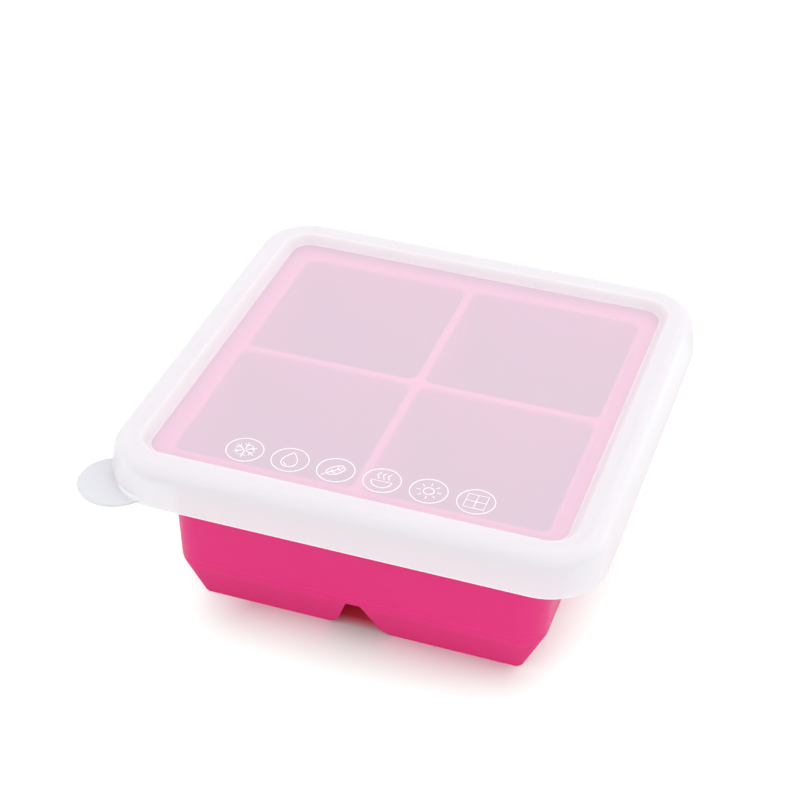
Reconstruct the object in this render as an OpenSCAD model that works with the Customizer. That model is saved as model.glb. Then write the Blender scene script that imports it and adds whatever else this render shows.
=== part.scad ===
/* [Pockets] */
// Pockets along each side of the square tray
pockets_per_side = 2; // [1:1:4]
// Width of a pocket's mouth
pocket_w = 52.6; // [30:0.2:70]
// Corner radius of the pockets, in plan and where their slopes meet the floor
pocket_corner = 4; // [2:0.1:5]
// Thickness of a divider at its top edge
divider_t = 2.8; // [1.6:0.1:5]
// Draft of the pocket walls and of the tray's outer walls, in degrees
draft = 3; // [1:0.25:5]

/* [Tray] */
// Height of the tray, from its feet to the top of its dividers
tray_h = 55; // [40:0.5:80]
// Thickness of the outer walls and of the sloped bottom edges
wall_t = 3; // [2:0.1:4]
// Thickness of a pocket's floor
floor_t = 3; // [2:0.1:5]
// Corner radius of the outer walls, at the top of their sloped bottom edge
wall_corner = 8.5; // [7.5:0.5:10]
// Height of the sloped bottom edge of the outer walls
slope_h = 14.2; // [8:0.2:18]
// How far the sloped bottom edge runs inwards
slope_w = 6.5; // [4:0.1:7]
// Rounding of the feet's outer edges
foot_round = 1.2; // [0.5:0.1:3]

/* [Channel between the feet] */
// Height of the cross-shaped channel under the dividers
channel_h = 14; // [6:0.5:16]
// Width of the channel at its roof
channel_roof_w = 4.4; // [2:0.2:5]
// Width of the channel at the feet's soles, before their edges are rounded
channel_sole_w = 14.8; // [8:0.2:18]
// Rounding of the feet's edges along the channel
channel_round = 3; // [0.5:0.1:4]

/* [Rim] */
// Width of the sealing lip round the pocket grid
lip_w = 1.8; // [1:0.1:3]
// Height of the sealing lip over the ledge outside it
lip_h = 0.7; // [0.3:0.1:1.5]
// Thickness of the flange
flange_t = 2.4; // [1.6:0.1:4]
// Thickness of the standing rim that the lid drops over
rim_t = 3.4; // [2:0.1:4]
// Height of the standing rim over the dividers' top edges
rim_h = 2.1; // [1.2:0.1:3]

/* [Lid] */
// Thickness of the window panel
panel_t = 1.6; // [1:0.1:2.4]
// Width of the window between the pocket grid and the raised rim
window_margin = 6.3; // [4:0.1:9]
// Thickness of the raised rim and skirt
lid_t = 2.2; // [1.6:0.1:3]
// Fillet where the window panel meets the raised rim
ring_fillet = 0.8; // [0.3:0.1:1]
// Rounding of the raised rim's inner edge
ring_round_in = 2; // [1:0.1:2.1]
// Rounding of the raised rim's outer edge
ring_round_out = 4; // [3.2:0.1:6]
// How far the skirt hangs below the window panel
skirt_h = 9; // [6:0.1:12]
// Lean of the skirt, in degrees: its lower edge is the widest
skirt_lean = 8; // [2:0.5:12]

/* [Fit of the lid on the tray] */
// Clearance between the raised rim and the standing rim inside it
lid_gap = 0.3; // [0.2:0.05:0.6]
// Room between the standing rim and the skirt, at the skirt's lower edge
skirt_room = 2.9; // [2:0.1:5]
// Clearance between the skirt and the flange's edge
flange_gap = 0.5; // [0.2:0.1:1.2]

/* [Pull tab] */
// Radius of the round pull tab
tab_r = 10.6; // [8:0.1:16]
// Thickness of the pull tab
tab_t = 1.6; // [1:0.1:2.4]
// How far the tab's centre lies outside the corner of the skirt
tab_out = -0.2; // [-2:0.1:4]
// Height of the tab over the skirt's lower edge
tab_rise = 1.4; // [0.2:0.1:2]

/* [Hidden] */
$fn = 96;

// A sliver that cutting shapes run past the faces they open
past = 1;

// Pocket grid: its half width, and the distance between pocket centres
pitch = pocket_w + divider_t;
grid = (pockets_per_side * pitch - divider_t) / 2;
centres = [for (i = [0 : pockets_per_side - 1]) (i - (pockets_per_side - 1) / 2) * pitch];

// Levels above the feet's soles
ledge_z = tray_h - lip_h;
flange_z = ledge_z - flange_t;
rim_z = tray_h + rim_h;
hollow_z = rim_z + lid_gap;
crest_z = hollow_z + lid_t;
skirt_z = tray_h - skirt_h;

// The rims in section, as distances outwards from the pocket grid: the raised rim's inner wall,
// the standing rim inside it, and the skirt's lower edge
ring_in = window_margin;
hollow_in = ring_in + lid_t;
rim_in = hollow_in + lid_gap;
rim_out = rim_in + rim_t;
ring_out = rim_out + skirt_room + lid_t;

// The skirt's rounded lower edge, and the roll above it whose faces run on into the skirt's
end_r = lid_t / 2;
end_x = ring_out - end_r;
end_z = skirt_z + end_r;
roll_z = crest_z - ring_round_out;
roll_x = end_x - (roll_z - end_z) * tan(skirt_lean) - (ring_round_out - end_r) / cos(skirt_lean);

// The flange stops short of the skirt's inner face
flange_out = end_x - end_r / cos(skirt_lean) - (ledge_z - end_z) * tan(skirt_lean) - flange_gap;

// Outer wall: half widths at the flange, at the top of the slope and at the soles
wall_top = grid + wall_t;
wall_knee = wall_top - (flange_z - slope_h) * tan(draft);
sole = wall_knee - slope_w;
wall_axis = wall_knee - wall_corner;

// Direction of the sloped bottom edge
slope_len = sqrt(slope_w * slope_w + slope_h * slope_h);
slope_angle = atan2(slope_h, slope_w);

// Pocket: half widths at the knee and at the floor, wall_t inside the outer slope
pocket_top = pocket_w / 2;
floor_half = sole - grid + pocket_top - wall_t * slope_len / slope_h + floor_t * slope_w / slope_h;
pocket_draft_z = tray_h * tan(draft);
knee_z = (pocket_top - pocket_draft_z - floor_half + floor_t * slope_w / slope_h)
    / (slope_w / slope_h - tan(draft));
knee_half = pocket_top - (tray_h - knee_z) * tan(draft);

// The pull tab's centre from the grid's corner, along X and along Y, and the move that puts the
// middle of the footprint, tab included, on the origin
tab_reach = (ring_out + tab_out) / sqrt(2);
centring = max(0, tab_reach + tab_r - ring_out) / 2;

// Moves a piece drawn about the middle of its pockets to its place
module centred() {
    translate([centring, centring, 0]) children();
}

// Sweeps a section round a square of the given half width. The section is drawn with x outwards
// from the square's edge and y upwards, and turns a quarter circle at each corner.
module round_square(half) {
    for (quarter = [0 : 3]) rotate(90 * quarter) {
        translate([half, half, 0]) rotate([90, 0, 0]) linear_extrude(2 * half) children();
        translate([half, half, 0]) rotate_extrude(angle = 90) children();
    }
}

// A flat plate with its middle square and its swept border
module plate(half, radius, z_low, z_high) {
    translate([-half, -half, z_low]) cube([2 * half, 2 * half, z_high - z_low]);
    round_square(half) translate([0, z_low]) square([radius, z_high - z_low]);
}

// Outer wall in section, from its corner axis: sole, rounded foot edge, slope and drafted wall
module wall_section() {
    sole_x = sole - wall_axis;
    knee_x = wall_knee - wall_axis;
    top_z = ledge_z - flange_t / 2;
    top_x = knee_x + (top_z - slope_h) * tan(draft);
    tangent = foot_round * tan(slope_angle / 2);
    slope_dir = [cos(slope_angle), sin(slope_angle)];
    polygon([
        [0, 0],
        [sole_x - tangent, 0],
        [sole_x, 0] + tangent * slope_dir,
        [knee_x, slope_h],
        [top_x, top_z],
        [0, top_z]
    ]);
    intersection() {
        translate([sole_x - tangent, foot_round]) circle(foot_round);
        square([sole_x, 2 * foot_round]);
    }
}

// The cups before they are hollowed: one block with drafted walls and sloped bottom edges
module cup_block() {
    top_z = ledge_z - flange_t / 2;
    translate([-wall_axis, -wall_axis, 0]) cube([2 * wall_axis, 2 * wall_axis, top_z]);
    round_square(wall_axis) wall_section();
}

// Places its child at the four corners of a square
module corners(half, z) {
    for (x = [-half, half], y = [-half, half]) translate([x, y, z]) children();
}

// The space in one pocket: drafted walls, sloped bottom edges, rounded corners and a rounded floor
module pocket() {
    mouth_axis = pocket_top + past * tan(draft) - pocket_corner;
    floor_axis = floor_half - pocket_corner * (slope_len - slope_w) / slope_h;
    sliver = 0.01;
    hull() {
        corners(mouth_axis, tray_h + past) cylinder(r = pocket_corner, h = sliver, $fn = 24);
        corners(knee_half - pocket_corner, knee_z) cylinder(r = pocket_corner, h = sliver, $fn = 24);
        corners(floor_axis, floor_t + pocket_corner) sphere(pocket_corner, $fn = 24);
    }
}

// Channel in section: narrow roof, sloped sides, and rounded edges where they meet the soles
module channel_section() {
    half_roof = channel_roof_w / 2;
    half_sole = channel_sole_w / 2;
    side_angle = atan2(channel_h, half_sole - half_roof);
    tangent = channel_round * tan(side_angle / 2);
    edge_x = half_sole + tangent;
    side_x = half_sole - tangent * cos(side_angle);
    side_z = tangent * sin(side_angle);
    difference() {
        polygon([
            [-half_roof, channel_h], [-side_x, side_z], [-edge_x, 0], [-edge_x, -past],
            [edge_x, -past], [edge_x, 0], [side_x, side_z], [half_roof, channel_h]
        ]);
        for (side = [-1, 1]) translate([side * edge_x, channel_round]) circle(channel_round);
    }
}

// The channels that part the feet, one under each divider both ways
module channels() {
    length = 2 * (wall_top + past);
    for (i = [1 : 1 : pockets_per_side - 1], turn = [0, 90])
        rotate(turn) translate([(i - pockets_per_side / 2) * pitch, length / 2, 0])
            rotate([90, 0, 0]) linear_extrude(length) channel_section();
}

// Flange and standing rim in section, outwards from the pocket grid
module rim_section() {
    edge_r = flange_t / 2;
    translate([0, flange_z]) square([flange_out - edge_r, flange_t]);
    translate([flange_out - edge_r, flange_z + edge_r]) circle(edge_r);
    translate([rim_in, flange_z + edge_r]) square([rim_t, rim_z - rim_t / 2 - flange_z - edge_r]);
    translate([rim_in + rim_t / 2, rim_z - rim_t / 2]) circle(rim_t / 2);
}

module tray() {
    color("#e0387f") centred() difference() {
        union() {
            cup_block();
            plate(grid, lip_w, flange_z + flange_t / 2, tray_h);
            translate([-grid, -grid, flange_z]) cube([2 * grid, 2 * grid, flange_t]);
            round_square(grid) rim_section();
        }
        for (x = centres, y = centres) translate([x, y, 0]) pocket();
        channels();
    }
}

// Raised rim in section, outwards from the pocket grid: panel edge, roll, skirt and the hollow below
module ring_section() {
    crest_in = ring_in + ring_round_in;
    roll = [roll_x, roll_z];
    end = [end_x, end_z];
    across = [cos(skirt_lean), sin(skirt_lean)];
    difference() {
        union() {
            translate([0, tray_h]) square([hollow_in, panel_t]);
            translate([ring_in - ring_fillet, tray_h + panel_t]) difference() {
                square(ring_fillet);
                translate([0, ring_fillet]) circle(ring_fillet);
            }
            translate([ring_in, tray_h]) square([roll_x - ring_in, crest_z - ring_round_in - tray_h]);
            translate([crest_in, tray_h]) square([roll_x - crest_in, crest_z - tray_h]);
            translate([crest_in, crest_z - ring_round_in]) circle(ring_round_in);
            translate(roll) circle(ring_round_out);
            polygon([roll, roll + ring_round_out * across, end + end_r * across, end - end_r * across]);
            translate(end) circle(end_r);
        }
        translate([0, skirt_z - past]) square([hollow_in, tray_h - skirt_z + past]);
        translate([hollow_in, skirt_z - past]) square([roll_x - hollow_in, hollow_z - skirt_z + past]);
        translate(roll) circle(ring_round_out - lid_t);
        polygon([
            roll,
            roll + (ring_round_out - lid_t) * across,
            end - end_r * across,
            [end_x - end_r * cos(skirt_lean), skirt_z - past],
            [roll_x, skirt_z - past]
        ]);
    }
}

// Round pull tab on the corner, rooted in the middle of the skirt's wall
module pull_tab() {
    difference() {
        translate([-grid - tab_reach, -grid - tab_reach, skirt_z + tab_rise]) cylinder(r = tab_r, h = tab_t);
        translate([-grid, -grid, skirt_z]) cylinder(r = end_x, h = tab_rise + tab_t + past);
    }
}

module lid() {
    color("#f3e6ee", 0.75) centred() {
        translate([-grid, -grid, tray_h]) cube([2 * grid, 2 * grid, panel_t]);
        round_square(grid) ring_section();
        pull_tab();
    }
}

tray();
lid();
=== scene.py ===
import math

import bmesh
import bpy
from mathutils import Matrix, Quaternion, Vector


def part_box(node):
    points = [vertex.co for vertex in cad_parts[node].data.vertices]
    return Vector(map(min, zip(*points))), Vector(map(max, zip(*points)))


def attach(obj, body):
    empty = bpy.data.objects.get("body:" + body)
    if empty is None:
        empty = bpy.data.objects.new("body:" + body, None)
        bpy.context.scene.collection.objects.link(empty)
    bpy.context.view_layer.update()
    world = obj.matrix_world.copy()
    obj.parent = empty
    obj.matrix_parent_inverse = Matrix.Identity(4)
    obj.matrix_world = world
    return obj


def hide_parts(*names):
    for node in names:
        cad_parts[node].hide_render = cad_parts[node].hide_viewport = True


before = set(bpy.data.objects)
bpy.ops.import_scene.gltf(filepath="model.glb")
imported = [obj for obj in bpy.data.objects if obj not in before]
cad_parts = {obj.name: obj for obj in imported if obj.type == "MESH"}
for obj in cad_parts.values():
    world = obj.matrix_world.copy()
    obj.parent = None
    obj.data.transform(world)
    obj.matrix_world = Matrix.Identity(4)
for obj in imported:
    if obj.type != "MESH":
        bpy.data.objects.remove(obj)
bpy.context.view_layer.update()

# The object's sizes are in millimetres, and mm turns them into metres
mm = 0.001


# The photograph's view
# A camera in front of the tray and a little to its right looks down on the lid, held slightly
# off level.

eye = Vector((143.7, -460.0, 389.8)) * mm
aim = Vector((-10.0, 26.3, 30.0)) * mm
off_level = math.radians(1.79)

lens = bpy.data.cameras.new("photo_view")
lens.lens = 90.6
lens.sensor_width = 36
camera = bpy.data.objects.new("photo_view", lens)
camera.location = eye
camera.rotation_euler = (
    (aim - eye).to_track_quat("-Z", "Y") @ Quaternion((0, 0, 1), off_level)
).to_euler()
bpy.context.collection.objects.link(camera)
bpy.context.scene.camera = camera
bpy.context.scene.view_settings.view_transform = "Standard"


# White studio: paper floor, white room and three soft lamps
# The tray stands on a white paper sweep in an evenly lit white room. The paper shows as white
# where it is lit. In front of the feet it keeps the tray's soft shadow, which is partly real and
# partly painted by a box where the paper's glow is held back.

# Lengths in this section are in metres
floor_half = 2.0
floor_drop = 0.1 * mm
floor_white = (0.855, 0.905, 0.875, 1)
# The paper's glow, and the box round the feet that paints a shadow: from its sides the glow grows
# to full strength
floor_glow = 0.5
glow_tint = (0.62, 1.0, 0.9, 1)
glow_middle = (0.008, 0, 0)
glow_starts = (0.038, 0.0465, 1)
glow_reach = 0.029
# Painted shade and reflected pink on the paper in the channel under the tray, and the box that it
# fills
painted_bounce_pink = (0.95, 0.1, 0.17, 1)
bounce_middle = (0.0027, 0.0027, 0)
bounce_half = (0.044, 0.044, 1)
bounce_reach = 0.0045
# A ray shorter than this has left a sole that stands on the paper
touching = 0.4 * mm
room_light = 1.08
overhead = {"place": (0.4, 0.3, 1.25), "size": 1.1, "watts": 2.0, "tint": (1.0, 0.99, 0.99)}
side_lamp = {"place": (1.05, 0.3, 0.5), "size": 0.45, "watts": 0.8, "tint": (1.0, 0.99, 1.0)}
front_lamp = {"place": (-0.5, -0.95, 0.85), "size": 0.9, "watts": 1.0, "tint": (1.0, 1.0, 1.0)}


class Value:
    """A node's output, so that shader maths reads as arithmetic."""

    def __init__(self, finish, socket):
        self.finish = finish
        self.socket = socket

    def maths(self, operation, first, second):
        return self.finish.node("ShaderNodeMath", {"operation": operation}, {0: first, 1: second})

    def __add__(self, other):
        return self.maths("ADD", self, other)

    __radd__ = __add__

    def __sub__(self, other):
        return self.maths("SUBTRACT", self, other)

    def __rsub__(self, other):
        return self.maths("SUBTRACT", other, self)

    def __mul__(self, other):
        return self.maths("MULTIPLY", self, other)

    __rmul__ = __mul__


class Finish:
    """The nodes of one material, or of the room around the tray."""

    def __init__(self, owner):
        owner.use_nodes = True
        self.tree = owner.node_tree
        self.tree.nodes.clear()

    def node(self, kind, settings=None, sockets=None, output=0):
        """Adds a node, with its settings first, then the values or links of its sockets."""
        made = self.tree.nodes.new(kind)
        for name, setting in (settings or {}).items():
            setattr(made, name, setting)
        for name, value in (sockets or {}).items():
            if isinstance(value, Value):
                self.tree.links.new(value.socket, made.inputs[name])
            else:
                made.inputs[name].default_value = value
        return Value(self, made.outputs[output]) if made.outputs else None


def new_material(name):
    material = bpy.data.materials.new(name)
    return material, Finish(material)


def add_piece(name, bm, materials):
    mesh = bpy.data.meshes.new(name)
    bm.to_mesh(mesh)
    bm.free()
    for material in materials:
        mesh.materials.append(material)
    piece = bpy.data.objects.new(name, mesh)
    bpy.context.collection.objects.link(piece)
    return piece


def mixed(finish, share, first, second):
    """A colour between two others, by a share that may vary over the surface."""
    return finish.node(
        "ShaderNodeMix", {"data_type": "RGBA"}, {0: share, 6: first, 7: second}, output=2
    )


def ramp(finish, value, start, end, first, last):
    """Goes from first to last while the value goes from start to end."""
    return finish.node("ShaderNodeMapRange", sockets={
        "Value": value, "From Min": start, "From Max": end, "To Min": first, "To Max": last,
    })


def vector_maths(finish, operation, first, second=(0, 0, 0), output=0):
    """A Vector Math node."""
    return finish.node(
        "ShaderNodeVectorMath", {"operation": operation}, {0: first, 1: second}, output
    )


def inside_box(finish, coords, box_middle, half_size, reach):
    """A mask that is 1 inside a box and falls to 0 over a distance round it."""
    across = vector_maths(finish, "ABSOLUTE", vector_maths(finish, "SUBTRACT", coords, box_middle))
    beyond = vector_maths(finish, "SUBTRACT", across, half_size)
    away = vector_maths(finish, "LENGTH", vector_maths(finish, "MAXIMUM", beyond), output="Value")
    return ramp(finish, away, 0, reach, 1, 0)


# The paper glows for the camera, except in a box round the tray's feet, where holding back the
# glow paints a shadow. In the channel under the tray the paper is painted in the tray's colour,
# as painted shade and reflected pink for light that goes to and fro many times.
white_paper, finish = new_material("white_paper")
seen_by_camera = finish.node("ShaderNodeLightPath", output="Is Camera Ray")
coords = finish.node("ShaderNodeTexCoord", output="Object")
painted_shadow = inside_box(finish, coords, glow_middle, glow_starts, glow_reach)
# Painted shade and reflected pink: in this box the paper takes the tray's colour
painted_bounce_mask = inside_box(finish, coords, bounce_middle, bounce_half, bounce_reach)
plain_sheet = finish.node("ShaderNodeBsdfDiffuse", sockets={"Color": floor_white})
painted_bounce_sheet = finish.node("ShaderNodeBsdfDiffuse", sockets={"Color": painted_bounce_pink})
sheet = finish.node(
    "ShaderNodeMixShader", sockets={0: painted_bounce_mask, 1: plain_sheet, 2: painted_bounce_sheet}
)
full_glow = finish.node(
    "ShaderNodeEmission", sockets={"Color": glow_tint, "Strength": floor_glow}
)
glowing = seen_by_camera * (1 - painted_shadow * painted_shadow)
glow = finish.node("ShaderNodeMixShader", sockets={0: glowing, 2: full_glow})
lit_sheet = finish.node("ShaderNodeAddShader", sockets={0: sheet, 1: glow})
# Seen from below the paper is clear, and it lets light through to the soles that touch it
from_below = finish.node("ShaderNodeNewGeometry", output="Backfacing")
ray_length = finish.node("ShaderNodeLightPath", output="Ray Length")
at_the_soles = ray_length.maths("LESS_THAN", ray_length, touching)
clear = from_below.maths("MAXIMUM", from_below, at_the_soles)
see_through = finish.node("ShaderNodeBsdfTransparent")
surface = finish.node("ShaderNodeMixShader", sockets={0: clear, 1: lit_sheet, 2: see_through})
finish.node("ShaderNodeOutputMaterial", sockets={"Surface": surface})

bm = bmesh.new()
bmesh.ops.create_grid(bm, x_segments=1, y_segments=1, size=floor_half)
bmesh.ops.translate(bm, verts=bm.verts, vec=(0, 0, -floor_drop))
add_piece("paper_floor", bm, [white_paper])

white_room = bpy.data.worlds.new("white_room")
bpy.context.scene.world = white_room
finish = Finish(white_room)
seen_by_camera = finish.node("ShaderNodeLightPath", output="Is Camera Ray")
walls = finish.node("ShaderNodeBackground", sockets={"Color": (1, 1, 1, 1), "Strength": room_light})
backdrop = finish.node("ShaderNodeBackground", sockets={"Color": (1, 1, 1, 1), "Strength": 1})
surface = finish.node("ShaderNodeMixShader", sockets={0: seen_by_camera, 1: walls, 2: backdrop})
finish.node("ShaderNodeOutputWorld", sockets={"Surface": surface})


def soft_lamp(name, lamp):
    """A round softbox that faces the tray."""
    light = bpy.data.lights.new(name, "AREA")
    light.shape = "DISK"
    light.size = lamp["size"]
    light.energy = lamp["watts"]
    light.color = lamp["tint"]
    holder = bpy.data.objects.new(name, light)
    holder.location = lamp["place"]
    holder.rotation_euler = (-Vector(lamp["place"])).to_track_quat("-Z", "Y").to_euler()
    bpy.context.collection.objects.link(holder)


soft_lamp("overhead_softbox", overhead)
soft_lamp("side_softbox", side_lamp)
soft_lamp("front_softbox", front_lamp)


# Tray
# One moulding of hot-pink silicone: four tapered pockets on chamfered feet, a cross-shaped
# channel between the feet, and a flange with the standing rim that the lid drops over.

tray_low, tray_high = (Vector(corner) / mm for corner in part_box("tray"))
middle = (tray_low + tray_high) / 2
pocket_w = 52.6
divider_t = 2.8
divider_z = 55.0
grid = pocket_w + divider_t / 2
pocket_corner = 2.6
mouth_round = 0.6
# Half width and height of a pocket's floor, and of the knee over its sloped bottom edges
pocket_floor = (18.9, 3.0)
pocket_knee = (24.2, 14.6)
floor_soften = 2.4
knee_soften = 1.2

# Outer wall: half width and height of its knee and of its head under the flange's fillet, half
# width of the sole, and the axis that its corners turn about
knee = (55.02, 14.2)
wall_head = (56.93, 50.7)
sole = 48.52
wall_axis = 46.52
foot_round = 1.2
knee_round = 6
root_fillet = 1.2
flange_t = 2.4
ledge_z = 54.3
ledge_fillet_out = 0.3
ledge_fillet_in = 0.4
lip_w = 1.8
lip_round = 0.3
rim_in = 8.8
rim_t = 3.4

channel_h = 14
channel_roof = 2.2
channel_roof_round = 0.4
channel_sole = 7.4
channel_round = 6
channel_apron = 4
past = 1


def arc(centre, radius, start, end, steps):
    """Points on an arc in a section, from one angle to another in degrees."""
    turns = [math.radians(start + (end - start) * i / steps) for i in range(steps + 1)]
    return [(centre[0] + radius * math.cos(a), centre[1] + radius * math.sin(a)) for a in turns]


def softened(before, corner, after, radius, steps):
    """An arc that rounds off a corner of a section."""
    corner = Vector(corner)
    back = (Vector(before) - corner).normalized()
    ahead = (Vector(after) - corner).normalized()
    half = back.angle(ahead) / 2
    centre = corner + (back + ahead).normalized() * radius / math.sin(half)
    first = corner + back * radius / math.tan(half) - centre
    last = corner + ahead * radius / math.tan(half) - centre
    turn = first.angle_signed(last)
    return [
        tuple(centre + Matrix.Rotation(-turn * i / steps, 2) @ first) for i in range(steps + 1)
    ]


def round_square(bm, section, axis, material=0, steps=18):
    """Sweeps a section round a square whose quarter turns run about its corner axes."""
    start = [bm.verts.new((axis + x, -axis, z)) for x, z in section]
    chain = [bm.edges.new(pair) for pair in zip(start, start[1:])]
    side = bmesh.ops.extrude_edge_only(bm, edges=chain)["geom"]
    end = [part for part in side if isinstance(part, bmesh.types.BMVert)]
    faces = [part for part in side if isinstance(part, bmesh.types.BMFace)]
    bmesh.ops.translate(bm, verts=end, vec=(0, 2 * axis, 0))
    end_chain = [edge for vert in end for edge in vert.link_edges if edge.other_vert(vert) in end]
    known = set(bm.faces)
    bmesh.ops.spin(
        bm, geom=end + list(set(end_chain)), cent=(axis, axis, 0), axis=(0, 0, 1),
        angle=math.pi / 2, steps=steps,
    )
    faces += [face for face in bm.faces if face not in known]
    for face in faces:
        face.material_index = material
    for turn in (1, 2, 3):
        copy = bmesh.ops.duplicate(bm, geom=faces)["geom"]
        bmesh.ops.rotate(
            bm, verts=[part for part in copy if isinstance(part, bmesh.types.BMVert)],
            cent=(0, 0, 0), matrix=Matrix.Rotation(turn * math.pi / 2, 3, "Z"),
        )


def close_shell(bm):
    """Merges the seams, fills the flat middles that the sweeps leave, and turns faces outwards."""
    bmesh.ops.remove_doubles(bm, verts=bm.verts, dist=0.001)
    bmesh.ops.dissolve_degenerate(bm, edges=bm.edges, dist=0.0005)
    bmesh.ops.holes_fill(bm, edges=[edge for edge in bm.edges if edge.is_boundary])
    bmesh.ops.recalc_face_normals(bm, faces=bm.faces)


def place(bm):
    """Moves a mesh drawn in millimetres about the tray's middle to its place, in metres."""
    bmesh.ops.scale(bm, verts=bm.verts, vec=(mm, mm, mm))
    bmesh.ops.translate(bm, verts=bm.verts, vec=Vector((middle.x, middle.y, 0)) * mm)


def combine(piece, other, operation):
    """Adds or cuts away a closed shape for good."""
    step = piece.modifiers.new(operation.lower(), "BOOLEAN")
    step.operation = operation
    step.solver = "EXACT"
    step.object = other
    seen = piece.evaluated_get(bpy.context.evaluated_depsgraph_get())
    result = bpy.data.meshes.new_from_object(seen)
    piece.modifiers.clear()
    piece.data = result
    bpy.data.objects.remove(other)


def smooth_shaded(piece, crease):
    """Smooth shading that keeps flat faces flat and edges sharper than the crease angle crisp."""
    piece.data.shade_smooth()
    piece.data.set_sharp_from_angle(angle=math.radians(crease))
    weighted = piece.modifiers.new("flat_faces", "WEIGHTED_NORMAL")
    weighted.keep_sharp = True


def cup_block():
    """Drafted walls on chamfered feet, with a fillet under the flange that the block ends in."""
    foot, bend, head = ((x - wall_axis, z) for x, z in ((sole, 0), knee, wall_head))
    root = (head[0] + root_fillet, head[1])
    buried_z = ledge_z - flange_t / 2
    wall = [(0, 0)]
    wall += softened((0, 0), foot, bend, foot_round, 5)
    wall += softened(foot, bend, head, knee_round, 6)
    wall += arc(root, root_fillet, 180, 95, 5)
    wall += [(root[0], buried_z), (0, buried_z)]
    bm = bmesh.new()
    round_square(bm, wall, wall_axis)
    close_shell(bm)
    place(bm)
    return add_piece("tray_moulding", bm, [pink_silicone])


def rim_block():
    """The flange with its round edge, the standing rim, and the sealing lip round the pockets."""
    flange_out = tray_high.x - middle.x - grid
    edge = flange_t / 2
    crest = rim_t / 2
    rim_out = rim_in + rim_t
    rim = [(0, ledge_z - flange_t)]
    rim += arc((flange_out - edge, ledge_z - edge), edge, -90, 90, 10)
    rim += softened(
        (flange_out - edge, ledge_z), (rim_out, ledge_z), (rim_out, divider_z),
        ledge_fillet_out, 3,
    )
    rim += arc((rim_in + crest, tray_high.z - crest), crest, 0, 180, 16)
    rim += softened((rim_in, divider_z), (rim_in, ledge_z), (lip_w, ledge_z), ledge_fillet_in, 3)
    rim += [(lip_w, ledge_z)]
    rim += arc((lip_w - lip_round, divider_z - lip_round), lip_round, 0, 90, 3)
    rim += [(0, divider_z)]
    bm = bmesh.new()
    round_square(bm, rim, grid)
    close_shell(bm)
    place(bm)
    return add_piece("tray_rim", bm, [])


def pocket_spaces():
    """Four pockets: square tapers with rounded upright corners, a soft floor and a rolled mouth."""
    bm = bmesh.new()
    mouth = (pocket_w / 2, divider_z - mouth_round)
    section = softened((0, pocket_floor[1]), pocket_floor, pocket_knee, floor_soften, 6)
    section += softened(pocket_floor, pocket_knee, mouth, knee_soften, 3)
    section += arc((mouth[0] + mouth_round, mouth[1]), mouth_round, 180, 90, 4)
    section += [(mouth[0] + mouth_round, divider_z + past)]
    bmesh.ops.create_grid(bm, x_segments=1, y_segments=1, size=section[0][0])
    bmesh.ops.bevel(
        bm, geom=bm.verts[:], offset=pocket_corner * section[0][0] / mouth[0], segments=8,
        offset_type="OFFSET", profile=0.5, affect="VERTICES", material=-1,
    )
    bmesh.ops.translate(bm, verts=bm.verts, vec=(0, 0, section[0][1]))
    outline = bm.edges[:]
    for reach, level in zip(section, section[1:]):
        grown = bmesh.ops.extrude_edge_only(bm, edges=outline)["geom"]
        verts = [part for part in grown if isinstance(part, bmesh.types.BMVert)]
        outline = [part for part in grown if isinstance(part, bmesh.types.BMEdge)]
        share = level[0] / reach[0]
        bmesh.ops.scale(bm, verts=verts, vec=(share, share, 1))
        bmesh.ops.translate(bm, verts=verts, vec=(0, 0, level[1] - reach[1]))
    bmesh.ops.holes_fill(bm, edges=outline)
    bmesh.ops.recalc_face_normals(bm, faces=bm.faces)
    one = bm.faces[:]
    offset = (pocket_w + divider_t) / 2
    for x, y in ((1, -1), (-1, 1), (-1, -1)):
        copy = bmesh.ops.duplicate(bm, geom=one)["geom"]
        verts = [part for part in copy if isinstance(part, bmesh.types.BMVert)]
        bmesh.ops.translate(bm, verts=verts, vec=(x * offset, y * offset, 0))
    first = [vert for face in one for vert in face.verts]
    bmesh.ops.translate(bm, verts=list(set(first)), vec=(offset, offset, 0))
    place(bm)
    return add_piece("pocket_spaces", bm, [])


def channel_space(turn):
    """The channel under one divider, with rounded edges at the soles and at its roof."""
    apron = channel_sole + channel_apron
    foot = (channel_sole, 0)
    roof = (channel_roof, channel_h)
    half = [(apron, -past)]
    half += softened((apron, 0), foot, roof, channel_round, 8)
    half += softened(foot, roof, (0, channel_h), channel_roof_round, 3)
    section = half + [(-x, z) for x, z in reversed(half)]
    length = 2 * (wall_head[0] + past)
    bm = bmesh.new()
    end = bm.faces.new([bm.verts.new((x, -length / 2, z)) for x, z in section])
    grown = bmesh.ops.extrude_face_region(bm, geom=[end])["geom"]
    verts = [part for part in grown if isinstance(part, bmesh.types.BMVert)]
    bmesh.ops.translate(bm, verts=verts, vec=(0, length, 0))
    bmesh.ops.rotate(bm, verts=bm.verts, cent=(0, 0, 0), matrix=Matrix.Rotation(turn, 3, "Z"))
    bmesh.ops.recalc_face_normals(bm, faces=bm.faces)
    place(bm)
    return add_piece("channel_space", bm, [])


def noise(finish, coords, scale, detail):
    """Soft random patches, by their number to the metre and the steps of finer ones in them."""
    return finish.node(
        "ShaderNodeTexNoise", sockets={"Vector": coords, "Scale": scale, "Detail": detail}
    )


# Hot-pink silicone: satin, with the fine grain of the mould, cloudy pigment and a dusty bloom. It
# is more matt on the feet. The tops of the dividers and the flange, under the lid, are painted
# paler pink as painted light.
pink = (0.79, 0.023, 0.205, 1)
pink_deep = (0.745, 0.018, 0.19, 1)
pink_bloom = (0.83, 0.054, 0.265, 1)
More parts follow.
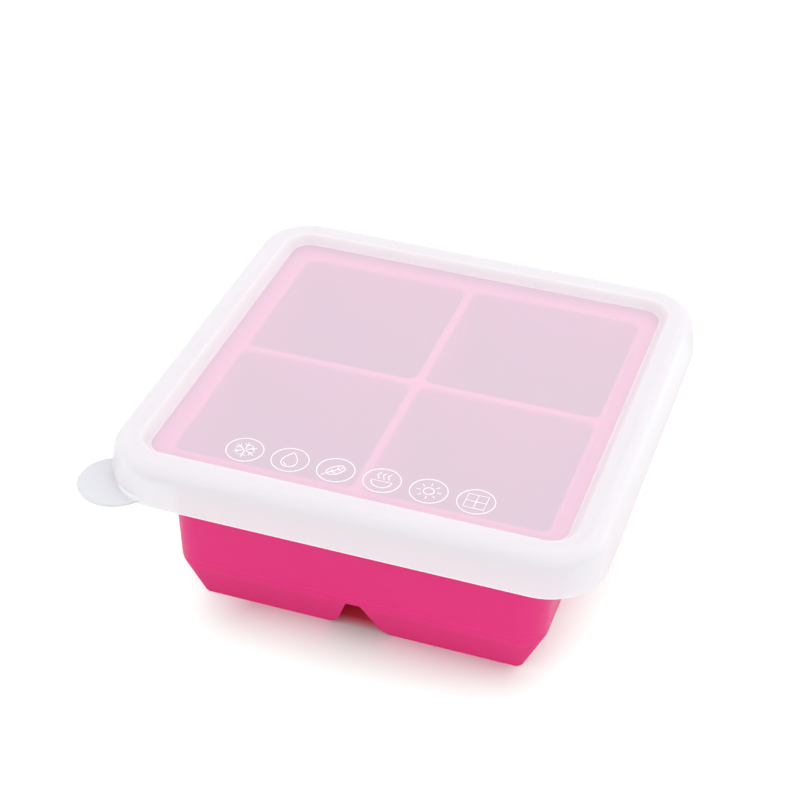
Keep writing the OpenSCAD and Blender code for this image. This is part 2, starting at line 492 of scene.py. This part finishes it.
# Painted light: the paler pink on the tops of the dividers and the flange
painted_light_pink = (0.93, 0.11, 0.35, 1)
pale_from, pale_at = (divider_z - 1.6) * mm, (divider_z - 0.7) * mm
matt_under, satin_over = (knee[1] - 2) * mm, (knee[1] + 3) * mm
grain_depth = 0.04 * mm

pink_silicone, finish = new_material("pink_silicone")
coords = finish.node("ShaderNodeTexCoord", output="Object")
height = finish.node("ShaderNodeSeparateXYZ", sockets={"Vector": coords}, output="Z")
clouds = noise(finish, coords, 38, 3)
bloom = noise(finish, coords, 210, 5)
grain = noise(finish, coords, 1500, 2)
clouded = mixed(finish, clouds, pink_deep, pink)
dusty = mixed(finish, bloom * 0.1 + grain * 0.2, clouded, pink_bloom)
# Painted light: the colour turns to the paler pink towards the tops
painted_tops = mixed(finish, ramp(finish, height, pale_from, pale_at, 0, 1), dusty, painted_light_pink)
matt_feet = ramp(finish, height, matt_under, satin_over, 1, 0)
bump = finish.node("ShaderNodeBump", sockets={
    "Strength": 0.25, "Distance": grain_depth, "Height": grain + bloom * 0.2,
})
body = finish.node("ShaderNodeBsdfPrincipled", sockets={
    "Base Color": painted_tops, "Roughness": bloom * 0.05 + matt_feet * 0.35 + 0.23, "IOR": 1.41,
    "Specular IOR Level": 0.4, "Normal": bump,
})
finish.node("ShaderNodeOutputMaterial", sockets={"Surface": body})

tray = cup_block()
combine(tray, rim_block(), "UNION")
combine(tray, channel_space(0), "DIFFERENCE")
combine(tray, channel_space(math.pi / 2), "DIFFERENCE")
combine(tray, pocket_spaces(), "DIFFERENCE")
smooth_shaded(tray, 32)
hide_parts("tray")
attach(tray, "tray")


# Lid
# One moulding of frosted clear silicone: a flat window over the pockets, a raised roll round it
# with a leaning skirt that grips the tray's rim, and a round tab to peel it off by.

lid_low, lid_high = (Vector(corner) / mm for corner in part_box("lid"))
crest_z = lid_high.z
ring_out = lid_high.x - middle.x - grid
window_z = 56.6
under_z = divider_z + 0.06
ring_in = 6.3
slope_run = 2.4
lid_t = 2.2
ring_fillet = 1.2
ring_round_in = 2.5
ring_round_out = 4
hollow_round = 0.5
hollow_fillet = 0.3
skirt_z = lid_low.z
# Angles in the section: the skirt's lean, and where the lower edge with its painted highlight
# starts
skirt_lean = 8
highlight_starts = -8
tab_r = 10.6
tab_t = 1.6
tab_out = -0.2
tab_rise = 1.4
tab_edge = 0.6
light_reach = 3.5 * mm


def silicone_milk(name, milk, haze, clearness, rough, depth=0):
    """Frosted silicone: part milky, part clear, with the fine grain of the mould."""
    material, finish = new_material(name)
    coords = finish.node("ShaderNodeTexCoord", output="Object")
    clouds = noise(finish, coords, 30, 3)
    grain = noise(finish, coords, 1900, 2)
    smears = noise(finish, coords, 130, 4)
    bump = finish.node("ShaderNodeBump", sockets={
        "Strength": 0.2, "Distance": grain_depth, "Height": grain + smears * 0.5,
    })
    body = finish.node("ShaderNodeBsdfPrincipled", sockets={
        "Base Color": mixed(finish, clouds, milk, haze), "Roughness": smears * 0.12 + rough,
        "IOR": 1.41, "Normal": bump, "Alpha": 1 - clearness, "Subsurface Weight": depth,
        "Subsurface Radius": (1, 0.9, 0.95), "Subsurface Scale": light_reach,
    })
    finish.node("ShaderNodeOutputMaterial", sockets={"Surface": body})
    return material


# One finish for each part of the lid's surface. The inside is nearly clear, because what is seen
# through the lid passes the outside as well. Light spreads inside the thick rim and its slope.
window_slot, rim_slot, tab_slot, inside_slot, edge_highlight_slot, slope_slot = range(6)
lid_frosts = [
    # The window's pink-lilac milk is partly the silicone's own bluish white, partly painted
    # reflected light from the pink tray
    silicone_milk("window_frost", (1.0, 0.86, 0.99, 1), (0.94, 0.85, 1.0, 1), 0.41, 0.36),
    silicone_milk("rim_frost", (0.785, 0.765, 0.81, 1), (0.765, 0.745, 0.79, 1), 0.06, 0.36, 0.9),
    silicone_milk("tab_frost", (0.77, 0.77, 0.815, 1), (0.75, 0.75, 0.795, 1), 0.25, 0.34),
    silicone_milk("inside_frost", (0.96, 0.95, 0.97, 1), (0.94, 0.93, 0.95, 1), 0.95, 0.4),
    # Painted highlight: the skirt's lower edge is near-white
    silicone_milk("edge_highlight_frost", (0.99, 0.99, 1.0, 1), (0.97, 0.97, 0.99, 1), 0.1, 0.3),
    # Painted light: the slope's milk is paler and pinker than the rim's, for light through the rim
    # from the tray
    silicone_milk("slope_frost", (0.90, 0.86, 0.91, 1), (0.88, 0.84, 0.89, 1), 0.1, 0.36, 0.9),
]

end_r = lid_t / 2
end_c = (ring_out - end_r, skirt_z + end_r)
lean = math.radians(skirt_lean)
roll_z = crest_z - ring_round_out
roll_x = end_c[0] - (roll_z - end_c[1]) * math.tan(lean) - (ring_round_out - end_r) / math.cos(lean)
hollow_z = crest_z - lid_t
hollow_in = ring_in + lid_t

slope_foot = (ring_in, window_z)
slope_head = (ring_in + slope_run, crest_z)
slope = softened((0, window_z), slope_foot, slope_head, ring_fillet, 5)
window_edge = [(0, window_z), slope[0]]
shoulder = softened(slope_foot, slope_head, (roll_x, crest_z), ring_round_in, 8)
slope += shoulder[:5]
outside = shoulder[4:] + arc((roll_x, roll_z), ring_round_out, 90, skirt_lean, 14)
outside += arc(end_c, end_r, skirt_lean, highlight_starts, 3)
lower_edge = arc(end_c, end_r, highlight_starts, -90, 8)
inside = arc(end_c, end_r, -90, -180 + skirt_lean, 6)
inside += arc((roll_x, roll_z), ring_round_out - lid_t, skirt_lean, 90, 6)
hollow_top = (hollow_in, hollow_z)
hollow_foot = (hollow_in, under_z)
inside += softened((roll_x, hollow_z), hollow_top, hollow_foot, hollow_round, 3)
inside += softened(hollow_top, hollow_foot, (0, under_z), hollow_fillet, 3)
inside += [(0, under_z)]

bm = bmesh.new()
round_square(bm, window_edge, grid, window_slot)
round_square(bm, slope, grid, slope_slot)
round_square(bm, outside, grid, rim_slot)
round_square(bm, lower_edge, grid, edge_highlight_slot)
round_square(bm, inside, grid, inside_slot)
close_shell(bm)
# The two large faces that close_shell fills in are the window above and the inside below
large = (2 * grid) ** 2 * 0.9
for face in bm.faces:
    if face.calc_area() > large:
        above = face.calc_center_median().z > (window_z + under_z) / 2
        face.material_index = window_slot if above else inside_slot
place(bm)
lid = add_piece("lid_moulding", bm, lid_frosts)


def round_plate(name, at, radius, low, high, edge_round):
    """A round plate on the lid's corner, with rounded edges or square ones."""
    bm = bmesh.new()
    bmesh.ops.create_cone(
        bm, cap_ends=True, segments=120, radius1=radius, radius2=radius, depth=high - low,
        matrix=Matrix.Translation((at, at, (low + high) / 2)),
    )
    if edge_round:
        half_way = (low + high) / 2
        rims = [
            edge for edge in bm.edges
            if (edge.verts[0].co.z > half_way) == (edge.verts[1].co.z > half_way)
        ]
        bmesh.ops.bevel(
            bm, geom=rims, offset=edge_round, offset_type="OFFSET", segments=4,
            profile=0.5, affect="EDGES", material=-1,
        )
    for face in bm.faces:
        face.material_index = tab_slot
    place(bm)
    return add_piece(name, bm, lid_frosts)


# Pull tab: a flat round tongue whose root ends inside the skirt's wall
tab_c = -grid - (ring_out + tab_out) / math.sqrt(2)
tab_z = skirt_z + tab_rise
tab_top = tab_z + tab_t
tab = round_plate("pull_tab", tab_c, tab_r, tab_z, tab_top, tab_edge)
skirt_middle = round_plate("skirt_middle", -grid, end_c[0], skirt_z - past, tab_top + past, 0)
combine(tab, skirt_middle, "DIFFERENCE")
combine(lid, tab, "UNION")
smooth_shaded(lid, 40)
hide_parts("lid")
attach(lid, "lid")


# Signs
# Six small round signs, moulded in one with the lid, stand a hair above the window along its
# front edge as fine raised lines in its silicone, which show whiter than the window: frost,
# water, leaf, steam over a bowl, sun, and the tray from above.

sign_first = -33.9
sign_pitch = 13.36
sign_row = -50.1
sign_r = 5.25
stroke_r = 0.16

signs = bpy.data.curves.new("lid_signs", "CURVE")
signs.dimensions = "3D"
signs.bevel_depth = stroke_r * mm
signs.bevel_resolution = 2
signs.use_fill_caps = True


def draw(sign, points, closed=False):
    """A raised line in one of the signs, in millimetres from the sign's middle."""
    line = signs.splines.new("POLY")
    line.points.add(len(points) - 1)
    line.use_cyclic_u = closed
    x0 = middle.x + sign_first + sign_pitch * sign
    y0 = middle.y + sign_row
    for point, (x, y) in zip(line.points, points):
        point.co = ((x0 + x) * mm, (y0 + y) * mm, window_z * mm, 1)


def around(angle, *radii):
    """Points on one ray from the middle, the angle in degrees."""
    turn = math.radians(angle)
    return [(r * math.cos(turn), r * math.sin(turn)) for r in radii]


frost, water, leaf, steam, sun, tray_plan = range(6)
for sign in (frost, water, leaf, steam, sun, tray_plan):
    draw(sign, arc((0, 0), sign_r, 0, 354, 59), closed=True)

for angle in range(30, 390, 60):
    draw(frost, around(angle, 0.3, 3.5))
    fork = around(angle, 2.0)
    draw(frost, around(angle - 22, 2.9) + fork + around(angle + 22, 2.9))

drop_turns = [2 * math.pi * i / 40 for i in range(40)]
draw(water, [
    (2.9 * math.sin(a) * math.sin(a / 2), 3.3 * math.cos(a) + 0.2) for a in drop_turns
], closed=True)
draw(water, arc((0, -1.0), 1.4, 200, 265, 8))

blade = arc((-2.1, 2.1), 4.6, -80, -10, 16) + arc((2.1, -2.1), 4.6, 100, 170, 16)
draw(leaf, blade, closed=True)
draw(leaf, [(-3.2, -3.2), (1.7, 1.7)])
for reach in (-1.1, 0.3):
    draw(leaf, [(reach, reach + 1.3), (reach, reach), (reach + 1.3, reach)])

draw(steam, arc((0, -0.3), 2.9, 180, 360, 20), closed=True)
for wave in (-1.5, 0, 1.5):
    heights = [0.5 + 2.9 * i / 16 for i in range(17)]
    draw(steam, [(wave + 0.35 * math.sin(2.2 * h), h) for h in heights])

draw(sun, arc((0, 0), 1.5, 0, 345, 23), closed=True)
for angle in range(0, 360, 45):
    draw(sun, around(angle, 2.3, 3.6))

draw(tray_plan, [(-2.9, -2.9), (2.9, -2.9), (2.9, 2.9), (-2.9, 2.9)], closed=True)
draw(tray_plan, [(-2.9, 0), (2.9, 0)])
draw(tray_plan, [(0, -2.9), (0, 2.9)])

sign_white = silicone_milk("sign_white", (0.99, 0.97, 0.99, 1), (0.97, 0.95, 0.97, 1), 0, 0.36)
holder = bpy.data.objects.new("sign_lines", signs)
bpy.context.collection.objects.link(holder)
lines = bpy.data.meshes.new_from_object(
    holder.evaluated_get(bpy.context.evaluated_depsgraph_get())
)
bpy.data.objects.remove(holder)
bm = bmesh.new()
bm.from_mesh(lines)
bmesh.ops.remove_doubles(bm, verts=bm.verts, dist=0.001 * mm)
bmesh.ops.recalc_face_normals(bm, faces=bm.faces)
lid_signs = add_piece("lid_signs", bm, [sign_white])
lid_signs.data.shade_smooth()
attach(lid_signs, "lid")
